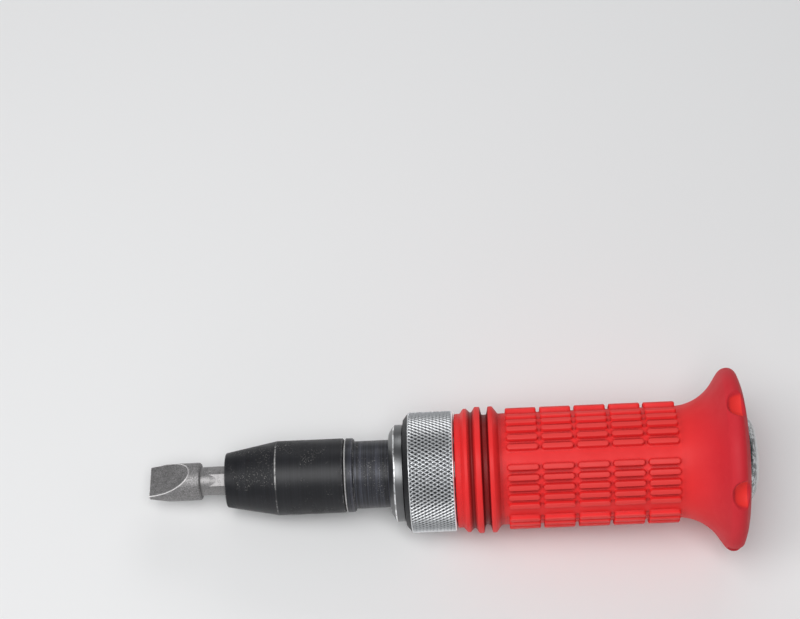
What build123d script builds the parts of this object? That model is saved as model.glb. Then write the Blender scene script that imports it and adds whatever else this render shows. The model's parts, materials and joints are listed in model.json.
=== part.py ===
from build123d import *
import math
import os

# Hand impact driver, lying on its side. Each piece is drawn round the tool axis,
# which runs along X from the bit (negative) to the striking head (positive), with
# zero at the front cap's front face. One turn and one lift then lay it on its rims.

os.makedirs("parts", exist_ok=True)

# Clearances shared by the pieces
running_gap = 0.05
sliding_gap = 0.12
loose_gap = 0.30
cut_overrun = 1.0

# Front cap
cap_flange_length = 4.4
cap_flange_stand = 0.7
cap_chamfer_length = 1.6
cap_chamfer_depth = 2.5
cap_thread_wall = 1.15
cap_thread_length = 7.3
cap_front_wall = 3.0

# Striking body
barrel_front_wall = 1.6
barrel_front_chamfer = 0.4
striking_end = 112.2
head_stand = 0.1
head_length = 11.0
head_flat_radius = 7.0
head_edge_radius = 8.6
root_ring_stand = 1.8
root_ring_length = 5.0
root_ring_chamfer = 1.0
spring_chamber_length = 33.2
chamber_cone_length = 2.5
chamber_cone_radius = 6.0

# Knurled collar
collar_length = 15.4
collar_wall = 4.18
collar_front_chamfer_length = 1.7
collar_front_chamfer_depth = 2.2
collar_rear_chamfer = 0.6
collar_lip_length = 2.1
key_slot_depth = 1.5

# Rubber grip
rubber_thickness = 2.9
grip_end = 108.8
grip_front_edge = 0.4
band_front_stand = 0.4
band_front_length = 1.8
band_peak_offset = 2.9
band_peak_length = 0.9
band_peak_stand = 1.9
notch_offset = 5.2
notch_stand = 0.4
rib_stand = 2.3
rib_2_offset = 6.4
rib_2_top_length = 1.6
rib_2_rear_flank = 0.5
groove_length = 1.5
groove_depth = 0.2
rib_3_front_flank = 0.5
rib_3_top_length = 1.3
rib_3_rear_flank = 1.7
pad_field_offset = 15.8
pad_columns = 5
pad_pitch = 10.6
pad_length = 9.5
pad_width = 1.75
pad_height = 1.5
pad_sink = 0.4
pad_angle = 10.0
pad_rows_per_group = 5
groups_round = 6
group_roll = 41.0
flare_start_offset = 67.1
flare_arc_radius = 14.8
flare_arc_angle = 56.0
flare_edge_radius = 4.6
guard_height = 11.1
guard_rim_edge_radius = 2.9
guard_back_angle = 70.0
guard_back_arc_radius = 50.0
scallop_radius = 4.8
scallop_depth = 3.9
scallop_length = 6.6
scallop_roll = 45.0

# Cam sleeve and its window
sleeve_thickness = 2.75
sleeve_rear_wall = 4.5
window_half_angle = 22.0
blow_turn_angle = 20.0
blow_stroke = 8.0
cam_pin_radius = 2.5
cam_pin_offset = 11.7
thrust_ring_length = 1.2

# Key pins
key_pin_radius = 1.6
key_pin_offset = 2.3

# Spindle
neck_radius = 10.4
neck_exposed_length = 11.0
neck_seated_length = 5.9
shoulder_radius = 11.4
shoulder_length = 2.8
shoulder_chamfer = 0.4
tail_radius = 7.0
drive_square = 12.7
drive_square_length = 15.0
drive_square_chamfer = 1.2
drive_corner_radius = 8.4
bush_wall = 1.0
seal_wire_radius = 0.6

# Drive detent
drive_ball_radius = 2.25
drive_ball_offset = 7.6
drive_ball_proud = 0.10
drive_ball_travel = 0.5
drive_spring_wire_radius = 0.2
drive_spring_turns = 4
drive_spring_spare = 0.9

# Return spring, its washers and the thrust ball
washer_thickness = 2.4
washer_radius = 8.5
spring_wire_radius = 1.0
spring_mean_radius = 7.0
spring_turns = 7
thrust_ball_radius = 2.5
thrust_ball_stand = 0.65
rear_seat_thickness = 1.6
rear_seat_bore_radius = 3.0

# Collar drag ring
drag_wire_radius = 0.55
drag_ring_offset = 6.2

# Cap lock pin
lock_pin_radius = 1.0
lock_pin_length = 2.3

# Bit holder
holder_length = 36.6
holder_radius = 11.45
holder_nose_radius = 8.4
holder_taper_length = 15.9
holder_nose_chamfer = 0.2
holder_rear_chamfer = 0.3
hex_flats = 8.0
hex_socket_depth = 14.1
socket_mouth_chamfer = 0.6
square_groove_radius = 7.2
square_groove_length = 4.8
retaining_wire_radius = 0.4
retaining_ring_offset = 4.2

# Slotted bit
bit_length = 38.1
bit_head_length = 16.2
bit_head_radius = 5.8
bit_tip_half_width = 5.4
bit_tip_taper_length = 5.5
blade_half_thickness = 0.8
blade_run_out = 12.7
blade_hollow = 0.5
bit_neck_length = 2.6
bit_neck_radius = 4.4
bit_neck_cone_length = 2.25
bit_head_rear_chamfer = 0.4
bit_end_chamfer = 0.8
hex_roll = 19.0
blade_turn_from_flat = 30.0

# Places along the axis, each from the piece before it
collar_start = cap_flange_length + sliding_gap
lip_end = collar_start + collar_lip_length
barrel_start = lip_end + sliding_gap
collar_end = collar_start + collar_length
grip_start = collar_end + loose_gap
cap_thread_end = barrel_start + cap_thread_length
thrust_ring_end = cap_thread_end + thrust_ring_length
sleeve_start = thrust_ring_end + sliding_gap
sleeve_length = cam_pin_offset + cam_pin_radius + blow_stroke + sleeve_rear_wall
sleeve_end = sleeve_start + sleeve_length
chamber_start = sleeve_end + sliding_gap
tail_end = sleeve_end - sliding_gap
thrust_ball_place = tail_end + thrust_ball_stand
washer_start = thrust_ball_place + thrust_ball_stand
washer_end = washer_start + washer_thickness
chamber_end = chamber_start + spring_chamber_length
seat_start = chamber_end - rear_seat_thickness
cam_pin_place = sleeve_start + cam_pin_offset
key_pin_place = sleeve_start + key_pin_offset
lock_pin_place = barrel_start + cap_thread_length / 2
drag_ring_place = collar_start + drag_ring_offset
shoulder_end = -neck_exposed_length
shoulder_start = shoulder_end - shoulder_length
square_start = shoulder_start - drive_square_length
drive_ball_place = shoulder_start - drive_ball_offset
holder_end = shoulder_start - loose_gap
holder_start = holder_end - holder_length
bit_end = holder_start + hex_socket_depth - sliding_gap
bit_start = bit_end - bit_length
retaining_ring_place = holder_start + retaining_ring_offset
head_start = striking_end - head_length
band_peak_start = grip_start + band_peak_offset
rib_2_start = grip_start + rib_2_offset
rib_2_end = rib_2_start + rib_2_top_length
groove_start = rib_2_end + rib_2_rear_flank
groove_end = groove_start + groove_length
rib_3_start = groove_end + rib_3_front_flank
rib_3_end = rib_3_start + rib_3_top_length
flare_start = grip_start + flare_start_offset
pad_field_start = grip_start + pad_field_offset
scallop_start = grip_end - scallop_length

# Radii and heights that follow from the fits
neck_bore_radius = neck_radius + running_gap
bush_outer_radius = neck_bore_radius + bush_wall
cap_thread_radius = bush_outer_radius + cap_thread_wall
barrel_radius = cap_thread_radius + barrel_front_wall
cap_flange_radius = barrel_radius + cap_flange_stand
seal_groove_radius = neck_bore_radius + 2 * seal_wire_radius
cap_bore_radius = neck_radius + sliding_gap
head_radius = barrel_radius + head_stand
root_ring_radius = barrel_radius + root_ring_stand
sleeve_inner_radius = tail_radius + running_gap
sleeve_outer_radius = sleeve_inner_radius + sleeve_thickness
sleeve_seat_radius = sleeve_outer_radius + running_gap
lip_inner_radius = cap_thread_radius + sliding_gap
collar_bore_radius = barrel_radius + sliding_gap
collar_radius = collar_bore_radius + collar_wall
collar_front_face_radius = collar_radius - collar_front_chamfer_depth
key_slot_radius = collar_bore_radius + key_slot_depth
key_pin_low = sleeve_inner_radius + loose_gap
drag_ring_middle = barrel_radius + running_gap + drag_wire_radius
grip_base_radius = barrel_radius + rubber_thickness
band_front_radius = grip_base_radius + band_front_stand
band_peak_radius = grip_base_radius + band_peak_stand
notch_radius = grip_base_radius + notch_stand
rib_radius = grip_base_radius + rib_stand
groove_floor_radius = grip_base_radius - groove_depth
guard_rim_radius = grip_base_radius + guard_height
chamber_radius = washer_radius + loose_gap
lock_pin_low = barrel_radius - lock_pin_length
hex_socket_flats = hex_flats + 2 * sliding_gap
square_socket = drive_square + 2 * sliding_gap
retaining_ring_middle = bit_neck_radius + sliding_gap + retaining_wire_radius
drive_ball_height = drive_square / 2 + drive_ball_proud - drive_ball_radius
drive_spring_solid_length = 2 * drive_spring_wire_radius * drive_spring_turns
drive_spring_length = drive_spring_solid_length + drive_ball_travel + drive_spring_spare
drive_hole_floor = drive_ball_height - drive_ball_radius - drive_spring_length

# Angles about the axis are counted from straight up toward the front
blade_roll = hex_roll - blade_turn_from_flat
setting_angle = 2 * window_half_angle
window_roll = window_half_angle
key_pin_roll = window_roll + 90
lock_pin_roll = 180


def turned(*outline):
    """A solid of revolution round the tool axis from an outline of lines and arcs."""
    return revolve(make_face(Curve() + list(outline)), Axis.X, 360)


def turned_points(*points):
    """A turned solid whose outline is straight between points of place and radius."""
    return turned(Polyline(*points, close=True))


def wire_ring(place, middle_radius, wire_radius):
    """A ring of round wire on the tool axis."""
    return revolve(Pos(place, middle_radius) * Circle(wire_radius), Axis.X, 360)


def prism(start, end, section):
    """A bar of any section, drawn across the tool axis."""
    across = Plane(origin=(start, 0, 0), x_dir=(0, 1, 0), z_dir=(1, 0, 0))
    return extrude(across * section, amount=end - start)


def rod(start, end, radius):
    """A plain round rod on the tool axis."""
    return prism(start, end, Circle(radius))


def ring(start, end, inner, outer):
    """A plain ring on the tool axis."""
    return prism(start, end, Circle(outer) - Circle(inner))


def rolled(shape, angle):
    """The shape turned about the tool axis, from straight up toward the front."""
    return shape.rotate(Axis.X, angle)


def radial_rod(place, low, high, radius):
    """A round rod that points straight up from the tool axis."""
    foot = Plane(origin=(place, 0, low), x_dir=(1, 0, 0), z_dir=(0, 0, 1))
    return extrude(foot * Circle(radius), amount=high - low)


def wound_wire(turns, pitch, mean_radius, wire_radius):
    """One unbroken wire wound up along Z, on two tangent arcs for each half turn."""

    def point(half):
        angle = half * math.pi
        return Vector(
            mean_radius * math.cos(angle), mean_radius * math.sin(angle), pitch * half / 2
        )

    def heading(half):
        angle = half * math.pi
        rise = pitch / (2 * math.pi * mean_radius)
        return Vector(-math.sin(angle), math.cos(angle), rise).normalized()

    arcs = []
    for half in range(2 * turns):
        start, end = point(half), point(half + 1)
        leave, arrive = heading(half), heading(half + 1)
        chord = end - start
        bend = 2 * (1 - leave.dot(arrive))
        along = chord.dot(leave + arrive)
        reach = (math.sqrt(along**2 + bend * chord.dot(chord)) - along) / bend
        middle = (start + leave * reach + end - arrive * reach) * 0.5
        arcs.append(Edge.make_tangent_arc(start, leave, middle))
        arcs.append(Edge.make_tangent_arc(middle, arcs[-1] % 1, end))
    path = Wire(arcs)
    section = Plane(origin=path @ 0, z_dir=path % 0) * Circle(wire_radius)
    return sweep(section, path=path)


def lock_pin_bar(high):
    return rolled(radial_rod(lock_pin_place, lock_pin_low, high, lock_pin_radius), lock_pin_roll)


def make_front_cap():
    chamfer_face = cap_flange_radius - cap_chamfer_depth
    body = turned_points(
        (0, cap_bore_radius),
        (0, chamfer_face),
        (cap_chamfer_length, cap_flange_radius),
        (cap_flange_length, cap_flange_radius),
        (cap_flange_length, cap_thread_radius),
        (cap_thread_end, cap_thread_radius),
        (cap_thread_end, bush_outer_radius),
        (cap_front_wall, bush_outer_radius),
        (cap_front_wall, cap_bore_radius),
    )
    groove_start = cap_front_wall / 2 - seal_wire_radius
    groove_end = cap_front_wall / 2 + seal_wire_radius
    body -= ring(groove_start, groove_end, neck_radius, seal_groove_radius)
    return body - lock_pin_bar(barrel_radius)


def make_cap_lock_pin():
    return lock_pin_bar(barrel_radius)


def make_dust_seal():
    return wire_ring(cap_front_wall / 2, neck_bore_radius + seal_wire_radius, seal_wire_radius)


def make_spindle_bush():
    return ring(cap_front_wall, cap_thread_end, neck_bore_radius, bush_outer_radius)


def make_front_thrust_ring():
    return ring(cap_thread_end, thrust_ring_end, cap_bore_radius, cap_thread_radius)


def body_shell():
    """The barrel and the domed striking head, before they are bored."""
    ring_start = head_start - root_ring_length
    reach = head_radius - head_flat_radius
    dome_start = striking_end - head_edge_radius + math.sqrt(head_edge_radius**2 - reach**2)
    straight = Polyline(
        (striking_end, head_flat_radius),
        (striking_end, 0),
        (barrel_start, 0),
        (barrel_start, barrel_radius - barrel_front_chamfer),
        (barrel_start + barrel_front_chamfer, barrel_radius),
        (ring_start, barrel_radius),
        (ring_start + root_ring_chamfer, root_ring_radius),
        (head_start, root_ring_radius),
        (head_start, head_radius),
        (dome_start, head_radius),
    )
    dome_middle_angle = math.asin(reach / head_edge_radius) / 2
    dome_middle = (
        striking_end - head_edge_radius * (1 - math.cos(dome_middle_angle)),
        head_flat_radius + head_edge_radius * math.sin(dome_middle_angle),
    )
    dome = ThreePointArc(
        (striking_end, head_flat_radius), dome_middle, (dome_start, head_radius)
    )
    return turned(straight, dome)


def key_slot():
    """One slot through the barrel, in which a key pin swings with the collar."""
    half_width = key_pin_radius + loose_gap
    half_angle = math.degrees(math.asin(half_width / sleeve_seat_radius))
    low = sleeve_seat_radius - cut_overrun
    high = barrel_radius + cut_overrun
    section = make_face(
        Polyline(
            (key_pin_place - half_width, low),
            (key_pin_place + half_width, low),
            (key_pin_place + half_width, high),
            (key_pin_place - half_width, high),
            close=True,
        )
    )
    sector = revolve(section, Axis.X, setting_angle + 2 * half_angle)
    return rolled(sector, key_pin_roll - setting_angle - half_angle + 90)


def make_striking_body():
    """Barrel and head, bored from the front in steps down to the spring chamber."""
    bore = rod(barrel_start - cut_overrun, thrust_ring_end, cap_thread_radius)
    bore += rod(thrust_ring_end - cut_overrun, chamber_start, sleeve_seat_radius)
    bore += turned_points(
        (chamber_start - cut_overrun, 0),
        (chamber_end + chamber_cone_length, 0),
        (chamber_end, chamber_cone_radius),
        (chamber_end, chamber_radius),
        (chamber_start - cut_overrun, chamber_radius),
    )
    slot = key_slot()
    return body_shell() - bore - slot - rolled(slot, 180) - lock_pin_bar(barrel_radius)


def key_pin_bar(high):
    bar = rolled(radial_rod(key_pin_place, key_pin_low, high, key_pin_radius), key_pin_roll)
    return bar, rolled(bar, 180)


def make_key_pins():
    first, second = key_pin_bar(key_slot_radius - sliding_gap)
    return first + second


def make_knurled_collar():
    body = turned_points(
        (collar_start, lip_inner_radius),
        (collar_start, collar_front_face_radius),
        (collar_start + collar_front_chamfer_length, collar_radius),
        (collar_end - collar_rear_chamfer, collar_radius),
        (collar_end, collar_radius - collar_rear_chamfer),
        (collar_end, collar_bore_radius),
        (lip_end, collar_bore_radius),
        (lip_end, lip_inner_radius),
    )
    body -= ring(
        drag_ring_place - drag_wire_radius,
        drag_ring_place + drag_wire_radius,
        collar_bore_radius - cut_overrun,
        drag_ring_middle + drag_wire_radius,
    )
    half_width = key_pin_radius + running_gap
    keyway = prism(
        key_pin_place - half_width,
        collar_end + cut_overrun,
        Pos(0, key_slot_radius / 2) * Rectangle(2 * half_width, key_slot_radius),
    )
    keyway = rolled(keyway, key_pin_roll)
    return body - keyway - rolled(keyway, 180)


def make_collar_drag_ring():
    return wire_ring(drag_ring_place, drag_ring_middle, drag_wire_radius)


def window_section(height):
    """The cam window's outline at a height: where the cam pin's middle may go, grown by the pin."""
    front = height * math.tan(math.radians(window_half_angle))
    rear = height * math.tan(math.radians(window_half_angle - blow_turn_angle))
    middles = make_face(
        Polyline(
            (cam_pin_place, -front),
            (cam_pin_place, front),
            (cam_pin_place + blow_stroke, rear),
            (cam_pin_place + blow_stroke, -rear),
            close=True,
        )
    )
    tilted_pin = cam_pin_radius / math.cos(math.radians(window_half_angle))
    grown = offset(middles, amount=tilted_pin + sliding_gap, kind=Kind.ARC)
    return (Plane(origin=(0, 0, height), x_dir=(1, 0, 0), z_dir=(0, 0, 1)) * grown).face()


def make_cam_sleeve():
    body = ring(sleeve_start, sleeve_end, sleeve_inner_radius, sleeve_outer_radius)
    low = window_section(sleeve_inner_radius - 2 * cut_overrun)
    high = window_section(sleeve_outer_radius + cut_overrun)
    window = rolled(loft([low, high], ruled=True), window_roll)
    body = body - window - rolled(window, 180)
    first, second = key_pin_bar(sleeve_outer_radius + cut_overrun)
    return body - first - second


def cam_pin_bar(reach):
    return radial_rod(cam_pin_place, -reach, reach, cam_pin_radius)


def make_cam_pin():
    corner = sleeve_outer_radius - sliding_gap
    return cam_pin_bar(math.sqrt(corner**2 - cam_pin_radius**2))


def make_drive_spindle():
    body = turned_points(
        (shoulder_start, 0),
        (shoulder_start, shoulder_radius - shoulder_chamfer),
        (shoulder_start + shoulder_chamfer, shoulder_radius),
        (shoulder_end - shoulder_chamfer, shoulder_radius),
        (shoulder_end, shoulder_radius - shoulder_chamfer),
        (shoulder_end, neck_radius),
        (neck_seated_length, neck_radius),
        (neck_seated_length, tail_radius),
        (tail_end, tail_radius),
        (tail_end, 0),
    )
    square = prism(square_start, shoulder_end, Rectangle(drive_square, drive_square))
    nose_face_radius = drive_corner_radius - drive_square_chamfer
    square &= turned_points(
        (square_start, 0),
        (square_start, nose_face_radius),
        (square_start + drive_square_chamfer, drive_corner_radius),
        (shoulder_end, drive_corner_radius),
        (shoulder_end, 0),
    )
    body += square
    body -= cam_pin_bar(neck_radius)
    ball_hole = drive_ball_radius + running_gap
    body -= radial_rod(drive_ball_place, drive_hole_floor, drive_square, ball_hole)
    return body - ball_on_axis(thrust_ball_radius + running_gap)


def make_drive_ball():
    return Pos(drive_ball_place, 0, drive_ball_height) * Sphere(drive_ball_radius)


def make_drive_ball_spring():
    """A small coil spring between the hole's floor and the ball."""
    pitch = (drive_spring_length - 2 * drive_spring_wire_radius) / drive_spring_turns
    mean = drive_ball_radius - drive_spring_wire_radius - sliding_gap
    coil = wound_wire(drive_spring_turns, pitch, mean, drive_spring_wire_radius)
    return Pos(drive_ball_place, 0, drive_hole_floor + drive_spring_wire_radius) * coil


def ball_on_axis(radius):
    """A ball with its poles on the tool axis, at the thrust ball's place."""
    half = make_face(
        [
            ThreePointArc((-radius, 0), (0, radius), (radius, 0)),
            Line((radius, 0), (-radius, 0)),
        ]
    )
    return Pos(thrust_ball_place) * revolve(half, Axis.X, 360)


def make_thrust_ball():
    return ball_on_axis(thrust_ball_radius)


def make_thrust_washer():
    return rod(washer_start, washer_end, washer_radius) - make_thrust_ball()


def make_rear_spring_seat():
    return ring(seat_start, chamber_end, rear_seat_bore_radius, washer_radius)


def make_return_spring():
    """The coil spring between the thrust washer and the rear seat."""
    pitch = (seat_start - washer_end - 2 * spring_wire_radius) / spring_turns
    print("least gap between the return spring's turns", round(pitch - 2 * spring_wire_radius, 2))
    coil = wound_wire(spring_turns, pitch, spring_mean_radius, spring_wire_radius)
    return Pos(washer_end + spring_wire_radius) * coil.rotate(Axis.Y, 90)


def make_rubber_grip():
    """The moulded sleeve: three ribs, pads, flare and scalloped hand guard."""
    front = Polyline(
        (grip_end, 0),
        (grip_start, 0),
        (grip_start, band_front_radius - grip_front_edge),
        (grip_start + grip_front_edge, band_front_radius),
        (grip_start + band_front_length, band_front_radius),
        (band_peak_start, band_peak_radius),
        (band_peak_start + band_peak_length, band_peak_radius),
        (grip_start + notch_offset, notch_radius),
        (rib_2_start, rib_radius),
        (rib_2_end, rib_radius),
        (groove_start, groove_floor_radius),
        (groove_end, groove_floor_radius),
        (rib_3_start, rib_radius),
        (rib_3_end, rib_radius),
        (rib_3_end + rib_3_rear_flank, grip_base_radius),
        (flare_start, grip_base_radius),
    )
    flare = JernArc((flare_start, grip_base_radius), (1, 0), flare_arc_radius, flare_arc_angle)
    edge_rise = flare_edge_radius * (1 - math.cos(math.radians(flare_arc_angle)))
    slope = flare % 1
    straight = (guard_rim_radius - edge_rise - (flare @ 1).Y) / slope.Y
    flank = Line(flare @ 1, (flare @ 1) + slope * straight)
    edge = JernArc(flank @ 1, slope, flare_edge_radius, -flare_arc_angle)
    rim = JernArc(edge @ 1, edge % 1, guard_rim_edge_radius, -guard_back_angle)
    back = RadiusArc(rim @ 1, (grip_end, head_flat_radius), guard_back_arc_radius)
    close = Line((grip_end, head_flat_radius), (grip_end, 0))
    body = turned(front, flare, flank, edge, rim, back, close) - body_shell()
    for bite in scallops():
        body -= bite
    return body.fuse(*grip_pads())


def grip_pads():
    """Raised stadium pads in rows, with every sixth row left out between the groups."""
    foot = Plane(
        origin=(pad_field_start + pad_length / 2, 0, grip_base_radius - pad_sink),
        x_dir=(1, 0, 0),
        z_dir=(0, 0, 1),
    )
    pad = extrude(foot * SlotOverall(pad_length, pad_width), amount=pad_sink + pad_height)
    first_row = (1 - pad_rows_per_group) / 2
    pads = []
    for group in range(groups_round):
        for row in range(pad_rows_per_group):
            angle = group_roll + group * 360 / groups_round + (first_row + row) * pad_angle
            pads += [
                rolled(Pos(column * pad_pitch) * pad, angle) for column in range(pad_columns)
            ]
    return pads


def scallops():
    """Round bites out of the hand guard's rear edge, one near each group of pads."""
    height = guard_rim_radius - scallop_depth + scallop_radius
    rise = scallop_radius - scallop_depth
    nose = scallop_start + math.sqrt(scallop_radius**2 - rise**2)
    diagonal = scallop_radius * math.sqrt(0.5)
    round_nosed_bar = turned(
        ThreePointArc(
            (nose - scallop_radius, 0), (nose - diagonal, diagonal), (nose, scallop_radius)
        ),
        Polyline(
            (nose, scallop_radius),
            (grip_end + cut_overrun, scallop_radius),
            (grip_end + cut_overrun, 0),
            (nose - scallop_radius, 0),
        ),
    )
    bite = Pos(0, 0, height) * round_nosed_bar
    return [rolled(bite, scallop_roll + n * 360 / groups_round) for n in range(groups_round)]


def hexagon(flats):
    return RegularPolygon(flats / 2, 6, major_radius=False)


def make_bit_holder():
    taper_end = holder_start + holder_taper_length
    body = turned_points(
        (holder_start, 0),
        (holder_start, holder_nose_radius - holder_nose_chamfer),
        (holder_start + holder_nose_chamfer, holder_nose_radius),
        (taper_end, holder_radius),
        (holder_end - holder_rear_chamfer, holder_radius),
        (holder_end, holder_radius - holder_rear_chamfer),
        (holder_end, 0),
    )
    hex_end = holder_start + hex_socket_depth
    socket = prism(holder_start - cut_overrun, hex_end, hexagon(hex_socket_flats))
    body -= rolled(socket, hex_roll)
    mouth = hex_socket_flats / math.sqrt(3)
    body -= turned_points(
        (holder_start, 0),
        (holder_start, mouth + socket_mouth_chamfer / 2),
        (holder_start + socket_mouth_chamfer, mouth - socket_mouth_chamfer / 2),
        (holder_start + socket_mouth_chamfer, 0),
    )
    square_end = square_start - loose_gap
    side = square_socket
    body -= prism(square_end, holder_end + cut_overrun, Rectangle(side, side))
    body -= rod(
        drive_ball_place - square_groove_length / 2,
        drive_ball_place + square_groove_length / 2,
        square_groove_radius,
    )
    groove = retaining_wire_radius + running_gap
    outer = retaining_ring_middle + groove
    return body - rod(retaining_ring_place - groove, retaining_ring_place + groove, outer)


def make_bit_retaining_ring():
    return wire_ring(retaining_ring_place, retaining_ring_middle, retaining_wire_radius)


def make_slotted_bit():
    """A hex shank with rounded corners, a round neck and a hollow-ground blade."""
    head_end = bit_start + bit_head_length
    neck_end = head_end + bit_neck_length
    cone_end = neck_end + bit_neck_cone_length
    head = turned_points(
        (bit_start, 0),
        (bit_start, bit_tip_half_width),
        (bit_start + bit_tip_taper_length, bit_head_radius),
        (head_end - bit_head_rear_chamfer, bit_head_radius),
        (head_end, bit_head_radius - bit_head_rear_chamfer),
        (head_end, 0),
    )
    neck = turned_points(
        (head_end, 0),
        (head_end, bit_neck_radius),
        (neck_end, bit_neck_radius),
        (cone_end, hex_flats / 2),
        (cone_end, 0),
    )
    shank = rolled(prism(head_end, bit_end, hexagon(hex_flats)), hex_roll)
    shank &= turned_points(
        (head_end, 0),
        (head_end, bit_neck_radius),
        (bit_end - bit_end_chamfer, bit_neck_radius),
        (bit_end, bit_neck_radius - bit_end_chamfer),
        (bit_end, 0),
    )
    cuts = blade_cut() + blade_cut().mirror(Plane.XY)
    return head + neck + shank - rolled(cuts, blade_roll)


def blade_cut():
    """What the wheel takes off the upper side of the head to leave the blade."""
    run_out = bit_start + blade_run_out
    tip = (bit_start, blade_half_thickness)
    end = (run_out, bit_head_radius)
    length = math.hypot(blade_run_out, bit_head_radius - blade_half_thickness)
    drop = blade_hollow * blade_run_out / length
    back = blade_hollow * (bit_head_radius - blade_half_thickness) / length
    middle = (
        (bit_start + run_out) / 2 + back,
        (blade_half_thickness + bit_head_radius) / 2 - drop,
    )
    slope = Vector(*end) - Vector(*middle)
    beyond = Vector(*end) + slope.normalized() * cut_overrun
    front = bit_start - cut_overrun
    outline = Curve() + [
        ThreePointArc(tip, middle, end),
        Polyline(end, (beyond.X, beyond.Y), (front, beyond.Y), (front, tip[1]), tip),
    ]
    upright = Plane(origin=(0, bit_head_radius + cut_overrun, 0), x_dir=(1, 0, 0), z_dir=(0, -1, 0))
    return extrude(upright * make_face(outline), amount=2 * (bit_head_radius + cut_overrun))


pieces = {
    "striking_body": make_striking_body(),
    "rubber_grip": make_rubber_grip(),
    "front_cap": make_front_cap(),
    "cap_lock_pin": make_cap_lock_pin(),
    "dust_seal": make_dust_seal(),
    "spindle_bush": make_spindle_bush(),
    "front_thrust_ring": make_front_thrust_ring(),
    "return_spring": make_return_spring(),
    "rear_spring_seat": make_rear_spring_seat(),
    "knurled_collar": make_knurled_collar(),
    "cam_sleeve": make_cam_sleeve(),
    "key_pins": make_key_pins(),
    "collar_drag_ring": make_collar_drag_ring(),
    "thrust_washer": make_thrust_washer(),
    "thrust_ball": make_thrust_ball(),
    "drive_spindle": make_drive_spindle(),
    "cam_pin": make_cam_pin(),
    "drive_ball": make_drive_ball(),
    "drive_ball_spring": make_drive_ball_spring(),
    "bit_holder": make_bit_holder(),
    "bit_retaining_ring": make_bit_retaining_ring(),
    "slotted_bit": make_slotted_bit(),
}

# The tool lies on the hand guard's rim and the collar's front edge, nose down


def rim_centre():
    """Middle of the round at the hand guard's rim: its place and its radius from the axis."""
    turn = math.radians(flare_arc_angle)
    rise = guard_rim_radius - grip_base_radius
    rise -= (flare_arc_radius + flare_edge_radius) * (1 - math.cos(turn))
    run = (flare_arc_radius + flare_edge_radius) * math.sin(turn) + rise / math.tan(turn)
    return flare_start + run, guard_rim_radius - guard_rim_edge_radius


collar_edge = collar_start + collar_front_chamfer_length
rim_place, rim_radius = rim_centre()
rim_run = rim_place - collar_edge
rim_rise = rim_radius - collar_radius
lie_angle = math.atan2(rim_rise, rim_run)
lie_angle += math.asin(guard_rim_edge_radius / math.hypot(rim_run, rim_rise))
lift = collar_radius * math.cos(lie_angle) - collar_edge * math.sin(lie_angle)


def laid_down(shape):
    """The shape turned nose down about the front cap's middle and lifted onto the surface."""
    return Pos(0, 0, lift) * shape.rotate(Axis.Y, -math.degrees(lie_angle))


laid = {name: laid_down(shape) for name, shape in pieces.items()}
left_end = laid["slotted_bit"].bounding_box().min.X
right_end = max(laid[name].bounding_box().max.X for name in ("striking_body", "rubber_grip"))
middle = (left_end + right_end) / 2

for name, shape in laid.items():
    export_step(Pos(-middle) * shape, f"parts/{name}.step")
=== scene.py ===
import json
import math
from collections import namedtuple

import bmesh
import bpy
from bpy.props import FloatProperty, FloatVectorProperty, IntProperty, PointerProperty
from mathutils import Matrix, Quaternion, Vector


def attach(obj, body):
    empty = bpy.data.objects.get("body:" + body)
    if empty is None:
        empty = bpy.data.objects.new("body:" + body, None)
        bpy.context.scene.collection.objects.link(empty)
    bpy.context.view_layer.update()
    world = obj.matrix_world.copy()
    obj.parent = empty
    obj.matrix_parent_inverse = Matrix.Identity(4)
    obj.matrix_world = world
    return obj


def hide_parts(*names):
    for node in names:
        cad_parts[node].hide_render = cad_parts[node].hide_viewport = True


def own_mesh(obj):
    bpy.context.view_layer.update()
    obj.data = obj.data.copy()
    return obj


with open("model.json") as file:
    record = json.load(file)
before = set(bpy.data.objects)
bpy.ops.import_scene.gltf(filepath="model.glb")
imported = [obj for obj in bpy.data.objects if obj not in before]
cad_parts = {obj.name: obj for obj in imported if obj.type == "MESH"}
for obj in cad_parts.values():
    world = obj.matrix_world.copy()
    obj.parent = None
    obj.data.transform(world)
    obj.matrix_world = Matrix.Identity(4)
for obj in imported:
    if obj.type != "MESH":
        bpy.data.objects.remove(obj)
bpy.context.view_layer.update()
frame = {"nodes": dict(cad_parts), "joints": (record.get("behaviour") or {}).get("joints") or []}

bl_info = {
    "name": "Hand impact driver",
    "version": (1, 0, 0),
    "blender": (4, 5, 0),
    "location": "View3D > Sidebar > Impact driver",
    "description": "Dresses the packed frame of a hand impact driver with its visible surfaces",
    "category": "Object",
}

mm = 0.001
weld_distance = 0.0001 * mm


def joint_named(name):
    return next(joint for joint in frame["joints"] if joint["name"] == name)


# The tool's own frame: x runs along its axis from the bit to the striking head,
# and angles count from straight up toward the front
blow = joint_named("blow_turn")
axis = Vector(blow["axis"])
tool_origin = Vector(blow["pos_m"])
lie_angle = math.atan2(axis.z, axis.x)
tool_to_frame = Matrix.Translation(tool_origin) @ Matrix.Rotation(-lie_angle, 4, "Y")
frame_to_tool = tool_to_frame.inverted()

Span = namedtuple("Span", "start end radius")


def span(node):
    """A CAD node's first and last place along the tool axis, and its largest radius."""
    points = [frame_to_tool @ vertex.co for vertex in frame["nodes"][node].data.vertices]
    places = [point.x for point in points]
    return Span(min(places), max(places), max(math.hypot(point.y, point.z) for point in points))


cap = span("front_cap")
collar = span("knurled_collar")
grip = span("rubber_grip")
head = span("striking_body")
holder = span("bit_holder")
coil = span("return_spring")
bit = span("slotted_bit")


# Sizes and colours that a user would change


def length(name, description, default):
    return FloatProperty(name=name, description=description, default=default, unit="LENGTH", min=0)


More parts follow.
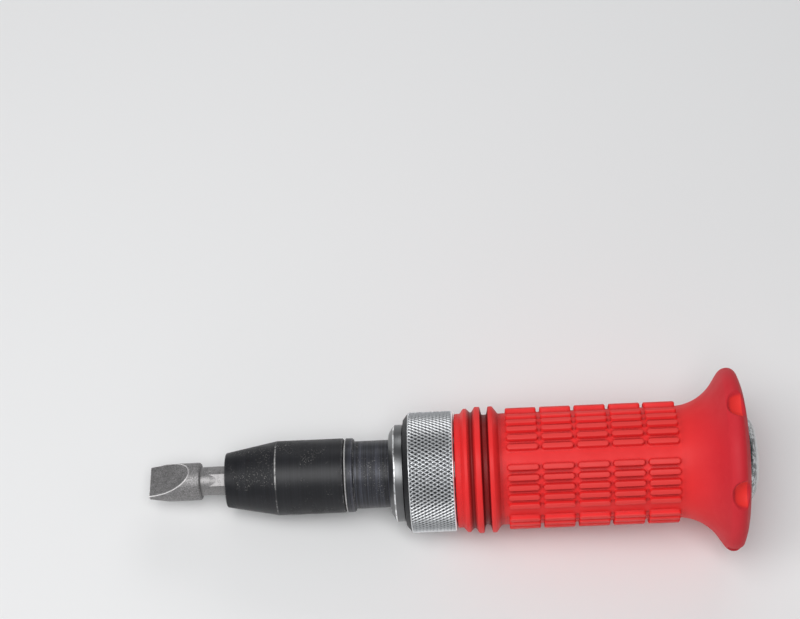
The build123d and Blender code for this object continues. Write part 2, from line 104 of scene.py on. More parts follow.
def turn(name, description, degrees):
    return FloatProperty(
        name=name, description=description, default=math.radians(degrees), subtype="ANGLE"
    )


def count(name, description, default):
    return IntProperty(name=name, description=description, default=default, min=1)


def colour(name, description, default):
    return FloatVectorProperty(
        name=name, description=description, default=default, subtype="COLOR", size=3, min=0, max=1
    )


class GripSizes(bpy.types.PropertyGroup):
    bore_radius: length("Bore radius", "Radius of the rubber's bore on the barrel", 14.22 * mm)
    head_bore_radius: length("Head bore", "Radius of the rubber's bore round the head", 14.36 * mm)
    ring_groove_radius: length("Ring groove", "Radius of the groove for the root ring", 16.02 * mm)
    ring_groove_start: length("Groove start", "Place of the root ring's groove", 96.1 * mm)
    ring_groove_end: length("Groove end", "End of the root ring's groove", 101.3 * mm)
    base_radius: length("Base radius", "Radius of the rubber under the pads", 17.1 * mm)
    band_radius: length("Band radius", "Radius of the flat front band", 17.5 * mm)
    band_length: length("Band length", "Length of the flat front band", 1.8 * mm)
    band_peak_offset: length("Peak offset", "Place of the first rib's top", 2.9 * mm)
    band_peak_length: length("Peak length", "Length of the first rib's top", 0.9 * mm)
    band_peak_radius: length("Peak radius", "Radius of the first rib", 19.0 * mm)
    notch_offset: length("Notch offset", "Place of the notch behind the first rib", 5.2 * mm)
    notch_radius: length("Notch radius", "Radius of the notch behind the first rib", 17.5 * mm)
    rib_radius: length("Rib radius", "Radius of the two ribs", 19.4 * mm)
    rib_2_offset: length("Second rib", "Place of the second rib's front edge", 6.4 * mm)
    rib_2_length: length("Second rib length", "Length of the second rib's top", 1.6 * mm)
    groove_offset: length("Groove offset", "Place of the groove's front end", 8.5 * mm)
    groove_length: length("Groove length", "Length of the groove's floor", 1.5 * mm)
    groove_radius: length("Groove radius", "Radius of the groove's floor", 16.9 * mm)
    rib_3_offset: length("Third rib", "Place of the third rib's front edge", 10.5 * mm)
    rib_3_length: length("Third rib length", "Length of the third rib's top", 1.3 * mm)
    rib_end_offset: length("Rib end", "Place where the third rib runs out", 13.5 * mm)
    edge_round: length("Edge round", "Rounding of the moulded edges", 0.45 * mm)
    field_offset: length("Pad field", "Place of the first pads' front ends", 15.8 * mm)
    pad_columns: count("Pad columns", "Pads along the grip", 5)
    pad_pitch: length("Pad pitch", "Distance from pad to pad along the grip", 10.6 * mm)
    pad_length: length("Pad length", "Length of one pad", 9.5 * mm)
    pad_width: length("Pad width", "Width of one pad", 1.75 * mm)
    pad_height: length("Pad height", "Height of one pad", 1.5 * mm)
    row_angle: turn("Row angle", "Angle from one row of pads to the next", 10.0)
    rows_per_group: count("Rows per group", "Rows of pads between two blank rows", 5)
    group_roll: turn("Group roll", "Angle of the first group's middle from straight up", 41.0)
    flare_offset: length("Flare offset", "Place where the hand guard begins to flare", 67.1 * mm)
    flare_radius: length("Flare radius", "Radius of the hollow at the guard's foot", 14.8 * mm)
    flare_angle: turn("Flare angle", "Slope of the guard's front face", 56.0)
    shoulder_radius: length("Guard shoulder", "Rounding at the top of the front face", 3.4 * mm)
    rim_round: length("Rim round", "Rounding of the guard's rim", 2.6 * mm)
    back_angle: turn("Back angle", "Turn of the rim before the back face", 70.0)
    back_bulge: length("Back bulge", "How far the back face bulges", 0.9 * mm)
    back_inset: length("Back inset", "How far the back face lies before the solid's", 1.1 * mm)
    rim_trim: length("Rim trim", "How much the rim's radius is under the solid's", 0.07 * mm)
    scallop_count: count("Scallops", "Round bites round the hand guard", 6)
    scallop_radius: length("Scallop radius", "Radius of the round bites", 4.8 * mm)
    scallop_depth: length("Scallop depth", "Depth of the round bites", 3.9 * mm)
    scallop_length: length("Scallop length", "Length of the round bites at the rim", 6.6 * mm)
    scallop_roll: turn("Scallop roll", "Angle of the first round bite from straight up", 45.0)
    scallop_round: length("Scallop round", "Rounding of the bites' edges", 0.8 * mm)


class CollarSizes(bpy.types.PropertyGroup):
    lip_radius: length("Lip bore", "Bore of the collar's front lip", 12.72 * mm)
    lip_length: length("Lip length", "Length of the collar's front lip", 2.1 * mm)
    bore_radius: length("Bore radius", "Bore of the collar", 14.32 * mm)
    face_radius: length("Face radius", "Outer radius of the front face", 16.3 * mm)
    chamfer_length: length("Chamfer length", "Length of the smooth front chamfer", 1.7 * mm)
    rear_chamfer: length("Rear chamfer", "Length of the smooth rear edge", 0.3 * mm)
    land_length: length("Land length", "Length of the smooth ring beside the knurl", 0.08 * mm)
    edge_round: length("Edge round", "Rounding of the collar's smooth edges", 0.10 * mm)
    knurl_starts: count("Knurl starts", "Diamonds round the collar", 90)
    knurl_pairs: count("Knurl row pairs", "Diamonds along the collar", 6)
    knurl_depth: length("Knurl depth", "Depth of the diamond knurl", 0.40 * mm)
    knurl_flat: FloatProperty(
        name="Knurl flat", description="Share of each diamond that is its flat floor", default=0.42,
        subtype="FACTOR",
    )


class CapSizes(bpy.types.PropertyGroup):
    bore_radius: length("Bore radius", "Bore round the spindle's neck", 10.52 * mm)
    bush_radius: length("Bush bore", "Bore that holds the bush", 11.45 * mm)
    front_wall: length("Front wall", "Thickness of the wall in front of the bush", 3.0 * mm)
    thread_radius: length("Thread radius", "Outer radius of the thread", 12.6 * mm)
    flange_length: length("Flange length", "Length of the bright flange", 4.4 * mm)
    chamfer_length: length("Chamfer length", "Length of the front chamfer", 1.6 * mm)
    chamfer_depth: length("Chamfer depth", "Depth of the front chamfer", 2.5 * mm)
    edge_round: length("Edge round", "Rounding of the polished edges", 0.28 * mm)


class SpringSizes(bpy.types.PropertyGroup):
    wire_radius: length("Wire radius", "Radius of the spring's wire", 1.0 * mm)
    mean_radius: length("Mean radius", "Radius of the coil, to the wire's middle", 7.0 * mm)
    turns: count("Turns", "Turns of the spring", 7)


class Finishes(bpy.types.PropertyGroup):
    rubber: colour("Rubber", "Moulded red rubber", (0.86, 0.026, 0.027))
    pad_tops: colour("Pad tops", "Rubber on the rubbed tops of the pads", (0.78, 0.070, 0.062))
    # Painted shade and blue reflection: the darker, purplish colour laid over the hand guard
    guard_shade_and_reflection: colour("Guard shade and reflection", "Rubber on the dull hand guard", (0.40, 0.015, 0.040))
    # A painted highlight: the round bites painted brighter and more orange, as where light falls
    bite_highlight: colour("Bite highlight", "Rubber in the round bites", (0.92, 0.045, 0.034))
    chalk: colour("Chalk", "Chalky bloom on the rubber", (0.80, 0.12, 0.11))
    chrome: colour("Chrome", "Bright plating", (0.60, 0.61, 0.62))
    # A painted highlight: the thin bright line laid along the cap's front edge
    painted_edge_highlight: colour("Painted edge highlight", "Plating along a rubbed edge", (1.0, 1.0, 1.0))
    # Painted shade: the plating painted near black down in narrow gaps
    painted_gap_shade: colour("Painted gap shade", "Plating down in narrow gaps", (0.01, 0.01, 0.01))
    # Grime and painted shade: the black in the knurl's diamonds and on the collar's front chamfer
    grime_and_painted_shade: colour("Grime", "Grime down in the knurl", (0.012, 0.012, 0.014))
    oxide: colour("Black oxide", "Black oxide on turned steel", (0.013, 0.0135, 0.017))
    # Also laid along the holder's bevelled edges, where it is partly a painted highlight
    worn_steel: colour("Worn steel", "Bare steel where the black is worn off", (0.72, 0.71, 0.70))
    oxide_specks: colour("Specks", "Specks in the black oxide", (0.26, 0.25, 0.24))
    ground_steel: colour("Ground steel", "Grey steel of the bit", (0.205, 0.200, 0.200))
    bronze: colour("Bronze", "Sintered bronze of the bush", (0.50, 0.33, 0.15))
    seal: colour("Seal", "Black seal rubber", (0.02, 0.02, 0.02))


class StageSettings(bpy.types.PropertyGroup):
    floor: colour("Floor", "Plain pale floor", (0.86, 0.86, 0.86))
    focal_length: FloatProperty(
        name="Focal length", description="Lens of the camera", default=99.0, unit="CAMERA"
    )
    distance: length("Distance", "Distance from the camera to the point it looks at", 0.7243)
    azimuth: turn("Azimuth", "Turn of the camera round the object", -6.05)
    elevation: turn("Elevation", "Height of the camera above the horizon", 64.02)
    roll: turn("Roll", "Tilt of the camera about its line of sight", 5.31)
    target: FloatVectorProperty(
        name="Target", description="Point on the floor in the middle of the picture",
        default=(-0.01383, 0.06492, 0.0), subtype="TRANSLATION", size=3,
    )


class DriverSettings(bpy.types.PropertyGroup):
    grip: PointerProperty(type=GripSizes)
    collar: PointerProperty(type=CollarSizes)
    cap: PointerProperty(type=CapSizes)
    spring: PointerProperty(type=SpringSizes)
    finishes: PointerProperty(type=Finishes)
    stage: PointerProperty(type=StageSettings)


# Shapes


def at(place, radius, angle):
    """A point of the tool's own frame."""
    return Vector((place, -radius * math.sin(angle), radius * math.cos(angle)))


def spread(steps, start=0.0, end=2 * math.pi):
    """Even angles from the start, up to the end but without it."""
    return [start + (end - start) * step / steps for step in range(steps)]


def arc(middle, radius, start, end, steps):
    """Places and radii along a round part of an outline, both ends included."""
    angles = [start + (end - start) * step / steps for step in range(steps + 1)]
    return [
        (middle[0] + radius * math.cos(angle), middle[1] + radius * math.sin(angle))
        for angle in angles
    ]


def rounded(outline, steps=4):
    """The outline with an arc at each corner that has a third value, its rounding."""
    path = []
    for index, corner in enumerate(outline):
        here = Vector(corner[:2])
        if len(corner) < 3:
            path.append(tuple(here))
            continue
        before = (Vector(outline[index - 1][:2]) - here).normalized()
        after = (Vector(outline[(index + 1) % len(outline)][:2]) - here).normalized()
        half = before.angle(after) / 2
        reach = corner[2] / math.tan(half)
        middle = here + (before + after).normalized() * corner[2] / math.sin(half)
        leave = here + before * reach - middle
        arrive = here + after * reach - middle
        start = math.atan2(leave.y, leave.x)
        sweep = math.remainder(math.atan2(arrive.y, arrive.x) - start, 2 * math.pi)
        path += arc(middle, corner[2], start, start + sweep, steps)
    return path


def soft_least(first, second, blend):
    """The smaller of two values, with a rounded change from one to the other."""
    share = max(blend - abs(first - second), 0) / blend
    return min(first, second) - share * share * blend / 4


class Skin:
    """A closed skin, put together face by face from points of the tool's own frame."""

    def __init__(self):
        self.bm = bmesh.new()
        self.corners = {}

    def corner(self, point):
        key = tuple(round(value / weld_distance) for value in point)
        if key not in self.corners:
            self.corners[key] = self.bm.verts.new(point)
        return self.corners[key]

    def face(self, *points):
        corners = list(dict.fromkeys(self.corner(point) for point in points))
        if len(corners) > 2:
            self.bm.faces.new(corners)

    def ladder(self, first, second):
        """Faces between two open rows with as many points each."""
        for index in range(1, len(first)):
            last = index - 1
            self.face(first[last], first[index], second[index], second[last])

    def bridge(self, first, second):
        """Faces between two closed loops with as many points each."""
        self.ladder(first[-1:] + first, second[-1:] + second)

    def tube(self, loops):
        """Faces along a whole row of closed loops."""
        for first, second in zip(loops, loops[1:]):
            self.bridge(first, second)

    def turn(self, outline, angles, reshape=None):
        """Faces round the tool axis along an outline of places and radii.

        A function of place, radius and angle may reshape the radius on the way round."""
        loops = []
        for place, radius in outline:
            radii = [reshape(place, radius, angle) if reshape else radius for angle in angles]
            loops.append([at(place, here, angle) for here, angle in zip(radii, angles)])
        self.tube(loops)

    def finish(self, name, body, slot, material, *nodes, crease=40):
        """The skin as a Blender object that rides on a body and stands for its CAD nodes."""
        bmesh.ops.remove_doubles(self.bm, verts=self.bm.verts, dist=weld_distance)
        bmesh.ops.recalc_face_normals(self.bm, faces=self.bm.faces)
        self.bm.transform(tool_to_frame)
        mesh = bpy.data.meshes.new(name)
        self.bm.to_mesh(mesh)
        self.bm.free()
        mesh.shade_smooth()
        mesh.set_sharp_from_angle(angle=math.radians(crease))
        mesh.materials.append(material)
        piece = bpy.data.objects.new(name, mesh)
        bpy.context.scene.collection.objects.link(piece)
        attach(piece, body)
        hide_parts(*nodes)
        return piece


# Materials


class Value:
    """A number that varies over a surface. Operators on it add Math nodes."""

    def __init__(self, paint, socket):
        self.paint = paint
        self.socket = socket

    def maths(self, operation, *values):
        return self.paint.node("ShaderNodeMath", {"operation": operation}, dict(enumerate(values)))

    def __add__(self, other):
        return self.maths("ADD", self, other)

    def __radd__(self, other):
        return self.maths("ADD", other, self)

    def __sub__(self, other):
        return self.maths("SUBTRACT", self, other)

    def __rsub__(self, other):
        return self.maths("SUBTRACT", other, self)

    def __mul__(self, other):
        return self.maths("MULTIPLY", self, other)

    def __rmul__(self, other):
        return self.maths("MULTIPLY", other, self)

    def __pow__(self, other):
        return self.maths("POWER", self, other)

    def __abs__(self):
        return self.maths("ABSOLUTE", self)

    def most(self, other):
        return self.maths("MAXIMUM", self, other)

    def rise(self, low, high):
        """Goes smoothly from 0 at the low value to 1 at the high one."""
        return self.paint.node(
            "ShaderNodeMapRange",
            {"interpolation_type": "SMOOTHSTEP"},
            {"Value": self, "From Min": low, "From Max": high},
        )

    def lifted(self, low):
        """The value stretched so that 0 becomes the low value and 1 stays 1."""
        return low + (1 - low) * self

    def within(self, start, full, fade, end):
        """1 from the full value to where it fades, 0 before the start and past the end."""
        return self.rise(start, full) * (1 - self.rise(fade, end))

    def near(self, place, full, none):
        """1 within the full distance of a place, and 0 beyond the none distance."""
        return 1 - abs(self - place).rise(full, none)


class Paint:
    """A material: its node tree, and one method that adds any node to it."""

    def __init__(self, name, uniform):
        self.material = bpy.data.materials.new(name)
        self.material.use_nodes = True
        self.tree = self.material.node_tree
        self.shader = self.tree.nodes["Principled BSDF"]
        for socket, value in uniform.items():
            self.shader.inputs[socket].default_value = value

    def node(self, kind, settings=None, inputs=None, output=0):
        """A node of any type: its settings first, then the values or links of its sockets."""
        made = self.tree.nodes.new(kind)
        for name, value in (settings or {}).items():
            setattr(made, name, value)
        for socket, value in (inputs or {}).items():
            self.feed(made.inputs[socket], value)
        return Value(self, made.outputs[output])

    def feed(self, socket, value):
        if isinstance(value, Value):
            self.tree.links.new(value.socket, socket)
        else:
            socket.default_value = value

    def give(self, socket, value):
        """Feeds one of the shader's own sockets."""
        self.feed(self.shader.inputs[socket], value)

    def place(self, stretch=(1, 1, 1)):
        """Where a point is in the tool's own frame, in millimetres, drawn out if asked."""
        coordinates = self.node("ShaderNodeTexCoord", output="Object")
        return self.node(
            "ShaderNodeMapping",
            {"vector_type": "TEXTURE"},
            {
                "Vector": coordinates,
                "Location": tool_origin,
                "Rotation": (0, -lie_angle, 0),
                "Scale": [mm * value for value in stretch],
            },
        )

    def along_and_out(self):
        """A point's place along the tool axis and its distance from it, in millimetres."""
        place = self.place()
        parts = [self.node("ShaderNodeSeparateXYZ", None, {0: place}, output=i) for i in range(3)]
        return parts[0], (parts[1] * parts[1] + parts[2] * parts[2]) ** 0.5

    def noise(self, size, detail=2.0, stretch=(1, 1, 1), roughness=0.5, seed=0.0):
        """Smooth noise between 0 and 1 whose grain has about this size in millimetres."""
        return self.node(
            "ShaderNodeTexNoise",
            {"noise_dimensions": "4D"},
            {
                "Vector": self.place(stretch),
                "Scale": 1 / size,
                "Detail": detail,
                "Roughness": roughness,
                "W": seed,
            },
        )

    def edges(self, radius, low, high):
        """1 along edges, 0 away from them: there a bevel of this radius turns the surface,
        so that its direction agrees with the flat one's by less than the low value."""
        soft = self.node("ShaderNodeBevel", {"samples": 6}, {"Radius": radius * mm})
        hard = self.node("ShaderNodeNewGeometry", output="Normal")
        product = {"operation": "DOT_PRODUCT"}
        alike = self.node("ShaderNodeVectorMath", product, {0: soft, 1: hard}, "Value")
        return 1 - alike.rise(low, high)

    def hidden(self, distance, only_local=True):
        """1 down in gaps narrower than this distance in millimetres, 0 on open faces: the mask for
        painted shade in gaps.
        """
        settings = {"samples": 6, "only_local": only_local}
        reach = {"Distance": distance * mm}
        return 1 - self.node("ShaderNodeAmbientOcclusion", settings, reach, "AO")

    def mix(self, factor, first, second):
        """One colour laid over another."""
        return self.node(
            "ShaderNodeMix",
            {"data_type": "RGBA"},
            {"Factor": factor, 6: self.opaque(first), 7: self.opaque(second)},
            output=2,
        )

    def opaque(self, colour):
        return colour if isinstance(colour, Value) else (*colour, 1.0)

    def bump(self, height, strength, depth, normal=None):
        """Relief of this depth in millimetres, from a height between 0 and 1."""
        inputs = {"Height": height, "Strength": strength, "Distance": depth * mm}
        if normal:
            inputs["Normal"] = normal
        return self.node("ShaderNodeBump", None, inputs)


def settings():
    return bpy.context.scene.impact_driver


def shade_of(colour, factor):
    return tuple(channel * factor for channel in colour)


def rubber_regions(along, out):
    """Masks of the hand guard, of its round bites and of the field of pads."""
    sizes = settings().grip
    top = grip.radius / mm
    back = (grip.end - sizes.back_inset) / mm
    bite_start = back - sizes.scallop_length / mm
    flare_start = (grip.start + sizes.flare_offset) / mm
    field_start = (grip.start + sizes.field_offset) / mm
    field_end = field_start + sizes.pad_columns * sizes.pad_pitch / mm
    guard = along.rise(flare_start - 1.1, back - 2.9)
    bites = along.within(bite_start + 0.9, bite_start + 1.9, back - 1.8, back - 1.4)
    bites = bites * (1 - out.rise(top - 2.0, top - 0.8))
    pads = along.within(field_start - 0.8, field_start + 0.2, field_end - 0.8, field_end + 0.2)
    return guard, bites, pads


def rubber_paint():
    """Matt moulded rubber, slightly chalky, with painted light: painted shade and blue reflection
    on the hand guard, a painted highlight in its round bites and painted shade in the gaps.
    """
    colours = settings().finishes
    sizes = settings().grip
    paint = Paint("red rubber", {"Specular IOR Level": 0.28})
    along, out = paint.along_and_out()
    guard, bites, pads = rubber_regions(along, out)
    pad_top = (sizes.base_radius + sizes.pad_height) / mm
    tops = pads * out.rise(pad_top - 0.4, pad_top - 0.1)
    cloud = paint.noise(size=14, detail=4, seed=1.0).rise(0.38, 0.68)
    chalk = paint.noise(size=1.6, detail=5, roughness=0.7, seed=2.0).rise(0.5, 0.8) * cloud
    base = paint.mix(cloud * 0.35, colours.rubber, shade_of(colours.rubber, 0.84))
    worn = paint.mix(tops * 0.45, base, colours.pad_tops)
    # The hand guard painted darker and purplish: painted shade and blue reflection
    guard_shaded = paint.mix(guard * (1 - bites) * 0.50, worn, colours.guard_shade_and_reflection)
    # The round bites painted brighter: a painted highlight
    bites_lit = paint.mix(bites * 0.55, guard_shaded, colours.bite_highlight)
    chalked = paint.mix(chalk * 0.14, bites_lit, colours.chalk)
    # Painted shade: the rubber painted dark at the pads' feet, in the grooves, in the notch and
    # behind the third rib
    feet = paint.hidden(1.3).rise(0.16, 0.52)
    grooves = paint.hidden(3.2).rise(0.10, 0.42) * (1 - pads)
    gaps = feet.most(grooves).most(rib_shade(along, out)) * (1 - bites * 0.7)
    paint.give("Base Color", paint.mix(gaps * 0.95, chalked, shade_of(colours.rubber, 0.17)))
    paint.give("Roughness", 0.48 + 0.16 * cloud + 0.10 * guard)
    grain = paint.noise(size=0.22, detail=3, roughness=0.6, seed=3.0)
    paint.give("Normal", paint.bump(grain, strength=0.35, depth=0.05))
    return paint.material


def rib_shade(along, out):
    """Painted shade in the notch behind the first rib, and a little behind the third."""
    sizes = settings().grip
    floor = sizes.notch_radius / mm
    notch = along.near((grip.start + sizes.notch_offset) / mm, 0.5, 1.2)
    notch = notch * (1 - out.rise(floor + 0.4, floor + 1.4))
    flank = along.near((grip.start + sizes.rib_end_offset) / mm, 0.4, 1.5)
    return (notch * 0.9).most(flank * 0.35)


def chrome_paint(name, roughness, tone=1.0, rubbed=None, shade_fade=None):
    """Plating with faint smears, and painted shade down in narrow gaps.

    An edge place, if given, gets a thin, broken painted highlight; a pair of places, if given,
    bounds where mottled painted shade fades out."""
    colours = settings().finishes
    paint = Paint(name, {"Metallic": 1.0})
    bright = shade_of(colours.chrome, tone)
    smear = paint.noise(size=5, detail=4, stretch=(1, 3, 3), seed=4.0).rise(0.45, 0.75)
    clean = paint.mix(smear * 0.4, bright, shade_of(bright, 0.80))
    # Painted shade: the plating darkened down in narrow gaps and close beside other parts
    gaps = paint.hidden(3.0, only_local=False).rise(0.55, 0.85) * 0.95
    along, out = paint.along_and_out()
    if rubbed:
        # A painted highlight: a thin, broken white line along the given edge
        broken = paint.noise(size=1.5, detail=4, seed=19.0).rise(0.40, 0.52)
        highlight_line = along.near(rubbed, 0.14, 0.30) * broken.lifted(0.35)
        clean = paint.mix(highlight_line, clean, colours.painted_edge_highlight)
    if shade_fade:
        # Mottled painted shade beside the hand guard, fading out towards the crown's end
        marks = paint.noise(size=1.1, detail=4, roughness=0.7, seed=18.0).rise(0.44, 0.50)
        gaps = gaps.most(marks * (1 - along.rise(*shade_fade)) * 0.7)
    paint.give("Base Color", paint.mix(gaps, clean, colours.painted_gap_shade))
    paint.give("Roughness", roughness + 0.10 * smear)
    fine = paint.noise(size=0.8, detail=3, seed=5.0)
    paint.give("Normal", paint.bump(fine, strength=0.12, depth=0.02))
    return paint.material


def knurl_paint():
    """Plated knurl: ridges painted brighter than the chrome as a painted highlight, the diamonds'
    floors black with grime and painted shade, and the front chamfer black as a painted dark
    reflection.
    """
    sizes = settings().collar
    colours = settings().finishes
    paint = Paint("plated knurl", {"Metallic": 0.85})
    # The ridges painted half as bright again as the chrome: a painted highlight
    bright = shade_of(colours.chrome, 1.5)
    along, out = paint.along_and_out()
    top = collar.radius / mm
    depth = sizes.knurl_depth / mm
    # Diamond floors painted black, grime and painted shade; the front chamfer black, a painted dark
    # reflection
    floor = 1 - out.rise(top - depth * 0.95, top - depth * 0.30)
    chamfer_end = (collar.start + sizes.chamfer_length) / mm
    chamfer = 1 - along.rise(chamfer_end - 0.25, chamfer_end + 0.05)
    field_end = (collar.end - sizes.rear_chamfer) / mm
    field = along.within(chamfer_end - 0.1, chamfer_end + 0.4, field_end - 0.4, field_end)
    dirt = paint.noise(size=0.9, detail=3, seed=6.0).rise(0.2, 0.7)
    grime_and_painted_shade = (floor * field * dirt.lifted(0.85)).most(chamfer * 0.97)
    paint.give("Base Color", paint.mix(grime_and_painted_shade, bright, colours.grime_and_painted_shade))
    paint.give("Roughness", 0.30 + 0.20 * grime_and_painted_shade)
    return paint.material


# How far from the front end of the holder and of the bit the finish of the metal changes
holder_taper_length = 15.9 * mm
blade_length = 13.5 * mm
bit_body_length = 15.9 * mm


def oxide_paint():
    """Black oxide on turned steel, speckled, with bare metal along the worn edges, partly a painted
    highlight.
    """
    colours = settings().finishes
    black = colours.oxide
    paint = Paint("black oxide", {"Specular IOR Level": 0.42})
    along, out = paint.along_and_out()
    wear = edge_wear(paint, along, out)
    speck = paint.noise(size=0.42, detail=3, roughness=0.7, seed=7.0).rise(0.57, 0.66)
    patch = paint.noise(size=6.5, detail=3, seed=8.0).rise(0.46, 0.62)
    specks = speck * patch.lifted(0.04)
    neck = along.rise(holder.end / mm + 0.2, holder.end / mm + 0.8)
    rings = paint.noise(size=0.55, detail=3, stretch=(1, 60, 60), roughness=0.6, seed=9.0)
    turned = rings.rise(0.35, 0.75)
    tone = paint.mix(turned * neck.lifted(0.10), shade_of(black, 0.6), shade_of(black, 5.5))
    specked = paint.mix(specks * 0.60, tone, colours.oxide_specks)
    paint.give("Base Color", paint.mix(wear, specked, colours.worn_steel))
    paint.give("Metallic", 0.10 + 0.40 * neck * turned + 0.20 * wear)
    paint.give("Roughness", 0.45 - 0.12 * rings * neck + 0.12 * patch - 0.10 * wear)
    relief = paint.bump(rings, strength=neck.lifted(0.06), depth=0.02)
    relief = paint.bump(1 - specks, strength=0.35, depth=0.03, normal=relief)
    paint.give("Normal", relief)
    return paint.material


def edge_wear(paint, along, out):
    """Broken bright lines where the holder's and the spindle's edges are rubbed; along the edges a
    bevel finds they are also a painted highlight.
    """
    broken = paint.noise(size=2.4, detail=6, roughness=0.75, seed=10.0)
    patches = paint.noise(size=9.0, detail=2, seed=16.0).rise(0.42, 0.56)
    taper = along.near((holder.start + holder_taper_length) / mm, 0.08, 0.32)
    taper = taper * (0.06 + 0.60 * broken.rise(0.42, 0.64)) * patches.lifted(0.20)
    back = holder.end / mm
    shoulder = along.within(back + 0.20, back + 0.35, back + 0.60, back + 0.80)
    shoulder = shoulder * out.rise(10.6, 10.9) * broken.rise(0.36, 0.50).lifted(0.35)
    # Along the edges a bevel finds: wear, and a painted highlight
    edges = paint.edges(radius=0.25, low=0.90, high=0.985) * (0.10 + 0.55 * broken.rise(0.46, 0.60))
    return taper.most(shoulder).most(edges)


def ground_paint():
    """Grey steel of the bit: grainy on the ground faces, with rubbed edges painted bright as a
    painted highlight.
    """
    grey = settings().finishes.ground_steel
    paint = Paint("ground steel", {})
    along, out = paint.along_and_out()
    grain = paint.noise(size=0.30, detail=4, roughness=0.75, seed=11.0)
    cloud = paint.noise(size=4, detail=3, seed=12.0).rise(0.3, 0.7)
    shank_start = (bit.start + bit_body_length) / mm
    shank = along.rise(shank_start, shank_start + 0.6)
    marks = paint.noise(size=0.40, detail=3, stretch=(1, 30, 30), seed=17.0)
    tone = paint.mix(grain.rise(0.3, 0.75), shade_of(grey, 0.60), shade_of(grey, 2.6))
    clouded = paint.mix(cloud * 0.3, tone, shade_of(grey, 0.8))
    turned = paint.mix(shank * marks.rise(0.3, 0.7), clouded, shade_of(grey, 1.5))
    blade_end = (bit.start + blade_length) / mm
    blade = 1 - along.rise(blade_end, blade_end + 1)
    # The blade's edges painted near white: rubbed edges with a painted highlight
    rubbed = paint.edges(radius=0.60, low=0.955, high=0.996) * blade
    paint.give("Base Color", paint.mix(rubbed, turned, shade_of(grey, 5.2)))
    paint.give("Metallic", 0.80 - 0.55 * rubbed)
    paint.give("Roughness", 0.48 + 0.14 * grain - 0.08 * shank)
    paint.give("Normal", paint.bump(grain, strength=0.55, depth=0.05))
    return paint.material


def steel_paint(name, tone, roughness):
    """Plain hidden steel, turned or drawn."""
    paint = Paint(name, {"Metallic": 1.0})
    marks = paint.noise(size=0.5, detail=3, stretch=(1, 20, 20), seed=13.0)
    paint.give("Base Color", paint.mix(marks * 0.5, (tone,) * 3, (tone * 0.7,) * 3))
    paint.give("Roughness", roughness + 0.12 * marks)
    paint.give("Normal", paint.bump(marks, strength=0.3, depth=0.02))
    return paint.material


def bronze_paint():
    """Sintered bronze with fine pores."""
    bronze = settings().finishes.bronze
    paint = Paint("sintered bronze", {"Metallic": 0.9})
    pores = paint.noise(size=0.25, detail=3, seed=14.0)
    paint.give("Base Color", paint.mix(pores.rise(0.4, 0.7), shade_of(bronze, 0.6), bronze))
    paint.give("Roughness", 0.35 + 0.2 * pores)
    paint.give("Normal", paint.bump(pores, strength=0.4, depth=0.03))
    return paint.material


def seal_paint():
    """Black seal rubber."""
    black = settings().finishes.seal
    paint = Paint("seal rubber", {"Specular IOR Level": 0.4})
    grain = paint.noise(size=0.3, detail=3, seed=15.0)
    paint.give("Base Color", paint.mix(grain, black, shade_of(black, 1.8)))
    paint.give("Roughness", 0.5 + 0.2 * grain)
    return paint.material


def repaint(material, *nodes):
    """Gives CAD nodes that keep their own shape a material."""
    for node in nodes:
        mesh = frame["nodes"][node].data
        mesh.materials.clear()
        mesh.materials.append(material)


# Pieces


# How finely the grip is divided: across a row of pads and round each end of a pad, and
# along a pad's side
row_steps = 12
side_steps = 4

# How finely the guard's outline is divided
hollow_steps = 16
flank_steps = 14
shoulder_steps = 14
rim_steps = 12
back_steps = 18
least_step = 0.1 * mm

# How steeply the wall of a round bite rises outside its round floor
bite_wall_slope = 4


def shares(steps):
    """Even shares from the first step up to 1."""
    return [step / steps for step in range(1, steps + 1)]


